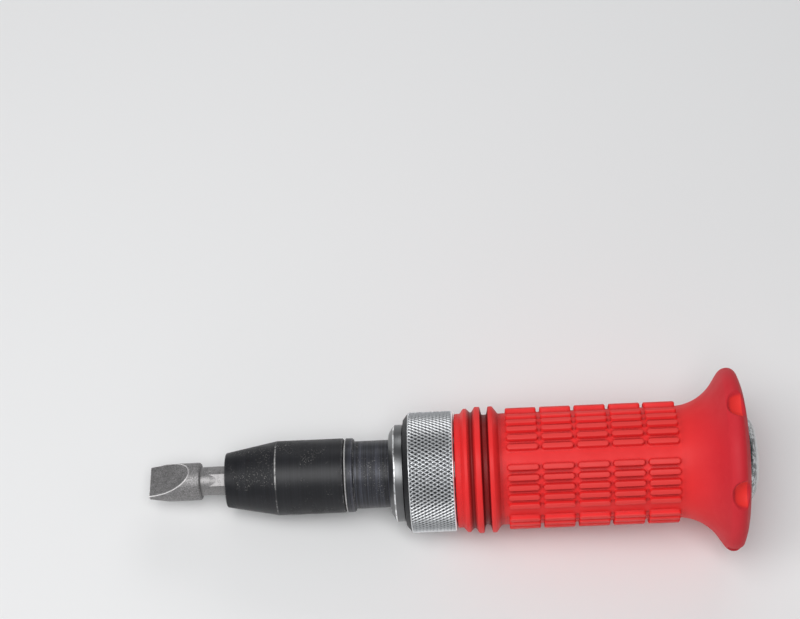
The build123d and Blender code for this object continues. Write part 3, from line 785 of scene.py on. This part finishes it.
class GripForm:
    """The rubber grip's outline and relief, worked out from its sizes."""

    def __init__(self, sizes):
        self.sizes = sizes
        self.rows = round(2 * math.pi / sizes.row_angle)
        self.end = grip.end - sizes.back_inset
        self.rim_radius = grip.radius - sizes.rim_trim
        self.flare_start = grip.start + sizes.flare_offset
        margin = (sizes.pad_pitch - sizes.pad_length) / 2
        self.field_start = grip.start + sizes.field_offset - margin
        self.field_end = self.field_start + sizes.pad_columns * sizes.pad_pitch

    def front_outline(self):
        """Places and radii from the bore's front edge over the band and the ribs to the pads."""
        s = self.sizes
        start = grip.start
        r = s.edge_round
        return rounded([
            (start, s.bore_radius),
            (start, s.band_radius, r),
            (start + s.band_length, s.band_radius, r),
            (start + s.band_peak_offset, s.band_peak_radius, r),
            (start + s.band_peak_offset + s.band_peak_length, s.band_peak_radius, r),
            (start + s.notch_offset, s.notch_radius, r),
            (start + s.rib_2_offset, s.rib_radius, r),
            (start + s.rib_2_offset + s.rib_2_length, s.rib_radius, r),
            (start + s.groove_offset, s.groove_radius, r),
            (start + s.groove_offset + s.groove_length, s.groove_radius, r),
            (start + s.rib_3_offset, s.rib_radius, r),
            (start + s.rib_3_offset + s.rib_3_length, s.rib_radius, r),
            (start + s.rib_end_offset, s.base_radius, r),
            (self.field_start, s.base_radius),
        ])

    def guard_outline(self):
        """Places and radii from the last pads, over the guard's rim and down its back."""
        s = self.sizes
        slope = s.flare_angle
        quarter = math.pi / 2
        foot = (self.flare_start, s.base_radius + s.flare_radius)
        hollow = arc(foot, s.flare_radius, -quarter, slope - quarter, hollow_steps)
        turned = (s.flare_radius + s.shoulder_radius) * (1 - math.cos(slope))
        rise = self.rim_radius - s.base_radius - turned
        run = rise / math.tan(slope)
        x, y = hollow[-1]
        flank = [(x + run * share, y + rise * share) for share in shares(flank_steps)]
        x, y = flank[-1]
        middle = (x + s.shoulder_radius * math.sin(slope), y - s.shoulder_radius * math.cos(slope))
        shoulder = arc(middle, s.shoulder_radius, quarter + slope, quarter, shoulder_steps)
        rim_middle = (middle[0], self.rim_radius - s.rim_round)
        rim = arc(rim_middle, s.rim_round, quarter, quarter - s.back_angle, rim_steps)
        edge = Vector(rim[-1])
        chord = Vector((self.end, s.head_bore_radius)) - edge
        out = Vector((-chord.y, chord.x)).normalized() * s.back_bulge
        back = [
            tuple(edge + chord * share + out * 4 * share * (1 - share))
            for share in shares(back_steps)
        ]
        outline = hollow + flank + shoulder[1:] + rim[1:] + back
        past_pads = [point for point in outline if point[0] > self.field_end + least_step]
        return [(self.field_end, self.base(self.field_end))] + past_pads

    def bore_outline(self):
        """Places and radii from the back face forward, with the groove for the root ring."""
        s = self.sizes
        return [
            (self.end, s.head_bore_radius),
            (s.ring_groove_end, s.head_bore_radius),
            (s.ring_groove_end, s.ring_groove_radius),
            (s.ring_groove_start, s.ring_groove_radius),
            (s.ring_groove_start, s.bore_radius),
            (grip.start, s.bore_radius),
        ]

    def base(self, place):
        """Radius of the surface that the pads stand on."""
        beyond = place - self.flare_start
        if beyond <= 0:
            return self.sizes.base_radius
        rise = self.sizes.flare_radius - math.sqrt(self.sizes.flare_radius**2 - beyond**2)
        return self.sizes.base_radius + rise

    def bitten(self, place, radius, angle):
        """The guard's radius once the round bites are taken out of its rear edge."""
        s = self.sizes
        off = math.remainder(angle - s.scallop_roll, 2 * math.pi / s.scallop_count)
        height = self.rim_radius - s.scallop_depth + s.scallop_radius
        lift = s.scallop_radius - s.scallop_depth
        nose = self.end - s.scallop_length + math.sqrt(s.scallop_radius**2 - lift**2)
        near = math.hypot(height * math.sin(off), max(nose - place, 0))
        floor = height * math.cos(off)
        if near < s.scallop_radius:
            floor -= math.sqrt(s.scallop_radius**2 - near**2)
        else:
            floor += bite_wall_slope * (near - s.scallop_radius)
        return soft_least(radius, floor, s.scallop_round)


def pad_loops(sizes):
    """The outline of a pad's cell, and a function that gives the pad's own at an offset.

    Both have as many points. A point of the cell is an angle across and a distance along from
    the pad's middle, and a point of the pad is two distances."""
    straight = (sizes.pad_length - sizes.pad_width) / 2
    half_cell = sizes.pad_pitch / 2
    half_row = sizes.row_angle / 2
    cell, pad = [], []
    for end in (1, -1):
        for step in range(row_steps + 1):
            share = 2 * step / row_steps - 1
            bend = share * math.pi / 2
            cell.append((end * half_row * share, end * half_cell))
            pad.append((end * math.sin(bend), end * math.cos(bend), end * straight))
        for step in range(1, side_steps):
            share = 1 - 2 * step / side_steps
            cell.append((end * half_row, end * half_cell * share))
            pad.append((end, 0, end * straight * share))

    def offset(amount):
        reach = sizes.pad_width / 2 + amount
        return [(across * reach, middle + along * reach) for across, along, middle in pad]

    return cell, offset


# How far a pad's side stands out from its nominal edge, as a share of its width, and how
# high, as a share of its height, from the rounded foot up to the rounded top edge
pad_relief_shares = (
    (0.19, 0.0),
    (0.07, 0.05),
    (0.02, 0.16),
    (-0.01, 0.75),
    (-0.05, 0.90),
    (-0.12, 0.98),
    (-0.22, 1.0),
)


def add_pads(skin, form):
    """The field of pads, with a blank row between their groups."""
    s = form.sizes
    cell, offset = pad_loops(s)
    first = s.group_roll - (s.rows_per_group - 1) / 2 * s.row_angle
    for column in range(s.pad_columns):
        middle = grip.start + s.field_offset + s.pad_length / 2 + column * s.pad_pitch
        for row in range(form.rows):
            roll = first + row * s.row_angle
            if row % (s.rows_per_group + 1) == s.rows_per_group:
                add_blank_cell(skin, form, middle, roll)
            else:
                add_pad(skin, form, middle, roll, cell, offset)


def add_pad(skin, form, middle, roll, cell, offset):
    """One pad in its cell: foot, walls, rounded edge and flat top."""
    s = form.sizes
    loops = [[at(middle + v, form.base(middle + v), roll + u) for u, v in cell]]
    for side_share, height_share in pad_relief_shares:
        loop = []
        for u, v in offset(side_share * s.pad_width):
            radius = form.base(middle + v) + height_share * s.pad_height
            loop.append(at(middle + v, radius, roll + math.asin(u / radius)))
        loops.append(loop)
    skin.tube(loops)
    top = loops[-1]
    half = len(top) // 2
    start = row_steps // 2
    left = [top[(start + step) % len(top)] for step in range(half + 1)]
    right = [top[start - step] for step in range(half + 1)]
    skin.ladder(left, right)


def add_blank_cell(skin, form, middle, roll):
    """The plain surface of one cell of a blank row."""
    s = form.sizes
    angles = [roll + s.row_angle * (step / row_steps - 0.5) for step in range(row_steps + 1)]
    lines = []
    for step in range(side_steps + 1):
        place = middle + s.pad_pitch / 2 * (1 - 2 * step / side_steps)
        radius = form.base(place)
        lines.append([at(place, radius, angle) for angle in angles])
    for first, second in zip(lines, lines[1:]):
        skin.ladder(first, second)


class DRIVER_OT_grip(bpy.types.Operator):
    """Moulds the rubber grip: front band, ribs, pads, flare and scalloped hand guard"""

    bl_idname = "driver.grip"
    bl_label = "Rubber grip"

    def execute(self, context):
        s = settings().grip
        form = GripForm(s)
        skin = Skin()
        first = s.group_roll - s.rows_per_group / 2 * s.row_angle
        angles = spread(row_steps * form.rows, first, first + 2 * math.pi)
        skin.turn(form.front_outline(), angles)
        add_pads(skin, form)
        skin.turn(form.guard_outline(), angles, form.bitten)
        skin.turn(form.bore_outline(), angles)
        skin.finish("grip", "handle", "red_rubber", rubber_paint(), "rubber_grip", crease=60)
        return {"FINISHED"}


def knurl_loop(sizes):
    """Angles of the knurl's end rows: a ridge, then the two sides of a diamond's floor."""
    half = math.pi / sizes.knurl_starts
    flat = sizes.knurl_flat * half
    middles = spread(sizes.knurl_starts)
    return [angle for middle in middles for angle in (middle - half, middle - flat, middle + flat)]


class DRIVER_OT_collar(bpy.types.Operator):
    """Cuts the direction collar with its diamond knurl"""

    bl_idname = "driver.collar"
    bl_label = "Knurled collar"

    def execute(self, context):
        s = settings().collar
        skin = Skin()
        top = collar.radius
        land_start = collar.start + s.chamfer_length + s.land_length
        land_end = collar.end - s.rear_chamfer - s.land_length
        run_in = s.knurl_depth / 2
        self.knurl(skin, s, land_start + run_in, land_end - run_in)
        self.end_row(skin, s, land_start + run_in, land_start)
        self.end_row(skin, s, land_end - run_in, land_end)
        r = s.edge_round
        lip_end = (collar.start + s.lip_length, s.bore_radius)
        front = rounded([
            (land_start, top),
            (collar.start + s.chamfer_length, top, r),
            (collar.start, s.face_radius, r),
            (collar.start, s.lip_radius, r),
            (collar.start + s.lip_length, s.lip_radius),
            lip_end,
        ])
        rear = rounded([
            (land_end, top),
            (collar.end - s.rear_chamfer, top, r),
            (collar.end, top - s.rear_chamfer, r),
            (collar.end, s.bore_radius, r),
            lip_end,
        ])
        skin.turn(front, knurl_loop(s))
        skin.turn(rear, knurl_loop(s))
        paint = knurl_paint()
        skin.finish("collar", "selector", "knurled_steel", paint, "knurled_collar", crease=20)
        return {"FINISHED"}

    def knurl(self, skin, s, start, end):
        """Rows of diamond floors, joined by the four slopes up to each diamond's corners."""
        top = collar.radius
        low = top - s.knurl_depth
        rows = 2 * s.knurl_pairs
        pitch = (end - start) / rows
        half = math.pi / s.knurl_starts
        flat = s.knurl_flat

        def point(row, column, radius):
            return at(start + row * pitch, radius, column * half)

        for row in range(rows + 1):
            for tooth in range(s.knurl_starts):
                column = 2 * tooth + row % 2
                left = point(row, column - flat, low)
                right = point(row, column + flat, low)
                tips = []
                for way in (-1, 1):
                    if 0 <= row + way <= rows:
                        tip = point(row + way * flat, column, low)
                        corner = point(row + way, column, top)
                        skin.face(tip, right, point(row, column + 1, top), corner)
                        skin.face(left, tip, corner, point(row, column - 1, top))
                        tips.append(tip)
                skin.face(left, tips[0], right, *tips[1:])

    def end_row(self, skin, s, place, land):
        """The slope from the last diamonds up to the smooth land."""
        top = collar.radius
        low = top - s.knurl_depth
        angles = knurl_loop(s)
        heights = [top, low, low] * s.knurl_starts
        edge = [at(place, radius, angle) for radius, angle in zip(heights, angles)]
        skin.bridge(edge, [at(land, top, angle) for angle in angles])


# How finely the cap is turned, the spring is wound and its wire is rounded
turned_steps = 128
steps_per_turn = 40
wire_sides = 12


class DRIVER_OT_cap(bpy.types.Operator):
    """Turns the bright front cap with its chamfered flange"""

    bl_idname = "driver.cap"
    bl_label = "Front cap"

    def execute(self, context):
        s = settings().cap
        skin = Skin()
        r = s.edge_round
        outline = rounded([
            (cap.start, s.bore_radius, r),
            (cap.start, cap.radius - s.chamfer_depth, r),
            (cap.start + s.chamfer_length, cap.radius, r),
            (cap.start + s.flange_length, cap.radius, r),
            (cap.start + s.flange_length, s.thread_radius),
            (cap.end, s.thread_radius),
            (cap.end, s.bush_radius),
            (cap.start + s.front_wall, s.bush_radius),
            (cap.start + s.front_wall, s.bore_radius),
        ])
        skin.turn(outline + outline[:1], spread(turned_steps))
        # The front edge of the flange gets a painted highlight line
        edge = (cap.start + s.chamfer_length) / mm
        # The plating painted at 0.3 of the chrome's brightness: a painted dark reflection
        plating = chrome_paint("satin plating", roughness=0.36, tone=0.30, rubbed=edge)
        skin.finish("cap", "handle", "plated_steel", plating, "front_cap")
        return {"FINISHED"}


class DRIVER_OT_spring(bpy.types.Operator):
    """Winds the return spring at its full length. On the tool it shortens as a blow drives the
    washer against it
    """

    bl_idname = "driver.spring"
    bl_label = "Return spring"

    def execute(self, context):
        s = settings().spring
        skin = Skin()
        pitch = (coil.end - coil.start - 2 * s.wire_radius) / s.turns
        loops = []
        for step in range(s.turns * steps_per_turn + 1):
            middle = coil.start + s.wire_radius + pitch * step / steps_per_turn
            angle = 2 * math.pi * step / steps_per_turn
            loops.append([
                at(
                    middle + s.wire_radius * math.sin(side),
                    s.mean_radius + s.wire_radius * math.cos(side),
                    angle,
                )
                for side in spread(wire_sides)
            ])
        skin.tube(loops)
        skin.face(*loops[0])
        skin.face(*loops[-1])
        wire = steel_paint("spring wire", tone=0.34, roughness=0.32)
        piece = skin.finish("return_coil", "handle", "spring_steel", wire, "return_spring")
        keep = 1 - joint_named("blow_stroke")["range_m"][1] / (coil.end - coil.start)
        tool_to_frame @ at(coil.end, 0, 0)
        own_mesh(piece)
        return {"FINISHED"}


class DRIVER_OT_metalwork(bpy.types.Operator):
    """Gives the pieces that keep their CAD shape their metals, bronze and seal rubber"""

    bl_idname = "driver.metalwork"
    bl_label = "Metalwork"

    def execute(self, context):
        crown = head.end / mm
        # The crown's plating gets mottled painted shade where it stands beside the guard
        plating = chrome_paint("bright plating", roughness=0.10, shade_fade=(crown - 1.4, crown - 0.7))
        repaint(plating, "striking_body")
        repaint(oxide_paint(), "bit_holder", "drive_spindle")
        repaint(ground_paint(), "slotted_bit")
        repaint(
            steel_paint("hardened steel", tone=0.55, roughness=0.25),
            "cam_sleeve", "key_pins", "cam_pin", "cap_lock_pin", "thrust_washer", "thrust_ball",
            "drive_ball", "rear_spring_seat", "front_thrust_ring",
        )
        spring_steel = steel_paint("spring steel", tone=0.34, roughness=0.32)
        repaint(spring_steel, "drive_ball_spring", "bit_retaining_ring")
        repaint(bronze_paint(), "spindle_bush")
        repaint(seal_paint(), "dust_seal", "collar_drag_ring")
        return {"FINISHED"}


# Stage


# The soft lamps: where each stands and what it is turned to, its width and height, in
# metres, and its power in watts
Lamp = namedtuple("Lamp", "name place aim size power")
lamps = (
    Lamp("key", (-0.14, -0.20, 0.76), (0, 0, 0), (0.62, 0.44), 4.3),
    Lamp("left", (-0.70, -0.10, 0.42), (0, 0, 0), (0.45, 0.45), 1.1),
    Lamp("right", (0.70, -0.05, 0.36), (0, 0, 0.02), (0.40, 0.40), 0.3),
    Lamp("back", (0.10, 0.75, 0.45), (0, 0, 0.01), (0.60, 0.30), 1.3),
    Lamp("front", (-0.05, -0.75, 0.26), (0, 0, 0.01), (0.70, 0.25), 0.4),
)

room_colour = (0.92, 0.95, 1.0)
room_strength = 0.17
floor_half_width = 3.0
view_limit = 10


def add_lamp(lamp):
    light = bpy.data.lights.new(lamp.name, "AREA")
    light.shape = "RECTANGLE"
    light.size, light.size_y = lamp.size
    light.energy = lamp.power
    stand = bpy.data.objects.new(lamp.name, light)
    bpy.context.scene.collection.objects.link(stand)
    stand.location = lamp.place
    way = Vector(lamp.aim) - Vector(lamp.place)
    stand.rotation_euler = way.to_track_quat("-Z", "Y").to_euler()


class DRIVER_OT_stage(bpy.types.Operator):
    """Sets the floor, the soft lights, the background and the camera"""

    bl_idname = "driver.stage"
    bl_label = "Stage"

    def execute(self, context):
        s = settings().stage
        self.add_floor(s)
        self.add_world()
        for lamp in lamps:
            add_lamp(lamp)
        self.add_camera(s)
        context.scene.view_settings.view_transform = "Standard"
        return {"FINISHED"}

    def add_floor(self, s):
        half = floor_half_width
        mesh = bpy.data.meshes.new("floor")
        corners = [(-half, -half, 0), (half, -half, 0), (half, half, 0), (-half, half, 0)]
        mesh.from_pydata(corners, [], [(0, 1, 2, 3)])
        paint = Paint("pale floor", {"Roughness": 0.9, "Specular IOR Level": 0.1})
        paint.give("Base Color", (*s.floor, 1.0))
        mesh.materials.append(paint.material)
        floor = bpy.data.objects.new("floor", mesh)
        bpy.context.scene.collection.objects.link(floor)

    def add_world(self):
        world = bpy.data.worlds.new("room")
        bpy.context.scene.world = world
        world.use_nodes = True
        background = world.node_tree.nodes["Background"]
        background.inputs["Color"].default_value = (*room_colour, 1.0)
        background.inputs["Strength"].default_value = room_strength

    def add_camera(self, s):
        lens = bpy.data.cameras.new("camera")
        lens.lens = s.focal_length
        lens.clip_end = view_limit
        camera = bpy.data.objects.new("camera", lens)
        bpy.context.scene.collection.objects.link(camera)
        level = math.cos(s.elevation)
        back = Vector((
            math.sin(s.azimuth) * level, -math.cos(s.azimuth) * level, math.sin(s.elevation)
        ))
        camera.location = Vector(s.target) + back * s.distance
        level_view = (-back).to_track_quat("-Z", "Y")
        camera.rotation_euler = (level_view @ Quaternion((0, 0, 1), s.roll)).to_euler()
        bpy.context.scene.camera = camera


class DRIVER_PT_panel(bpy.types.Panel):
    """Lists the pieces, their sizes and their finishes"""

    bl_idname = "DRIVER_PT_panel"
    bl_label = "Impact driver"
    bl_space_type = "VIEW_3D"
    bl_region_type = "UI"
    bl_category = "Impact driver"

    def draw(self, context):
        chosen = context.scene.impact_driver
        for operator in operators:
            self.layout.operator(operator.bl_idname)
        parts = (chosen.grip, chosen.collar, chosen.cap, chosen.spring)
        for group in (*parts, chosen.finishes, chosen.stage):
            box = self.layout.box()
            for name in group.bl_rna.properties.keys():
                if name not in ("rna_type", "name"):
                    box.prop(group, name)


groups = (
    GripSizes,
    CollarSizes,
    CapSizes,
    SpringSizes,
    Finishes,
    StageSettings,
    DriverSettings,
)
operators = (
    DRIVER_OT_grip,
    DRIVER_OT_collar,
    DRIVER_OT_cap,
    DRIVER_OT_spring,
    DRIVER_OT_metalwork,
    DRIVER_OT_stage,
)


def register():
    for item in (*groups, *operators, DRIVER_PT_panel):
        bpy.utils.register_class(item)
    bpy.types.Scene.impact_driver = PointerProperty(type=DriverSettings)


def unregister():
    del bpy.types.Scene.impact_driver
    for item in reversed((*groups, *operators, DRIVER_PT_panel)):
        bpy.utils.unregister_class(item)


def main():
    register()
    bpy.ops.driver.grip()
    bpy.ops.driver.collar()
    bpy.ops.driver.cap()
    bpy.ops.driver.spring()
    bpy.ops.driver.metalwork()
    bpy.ops.driver.stage()


if __name__ == "__main__":
    main()
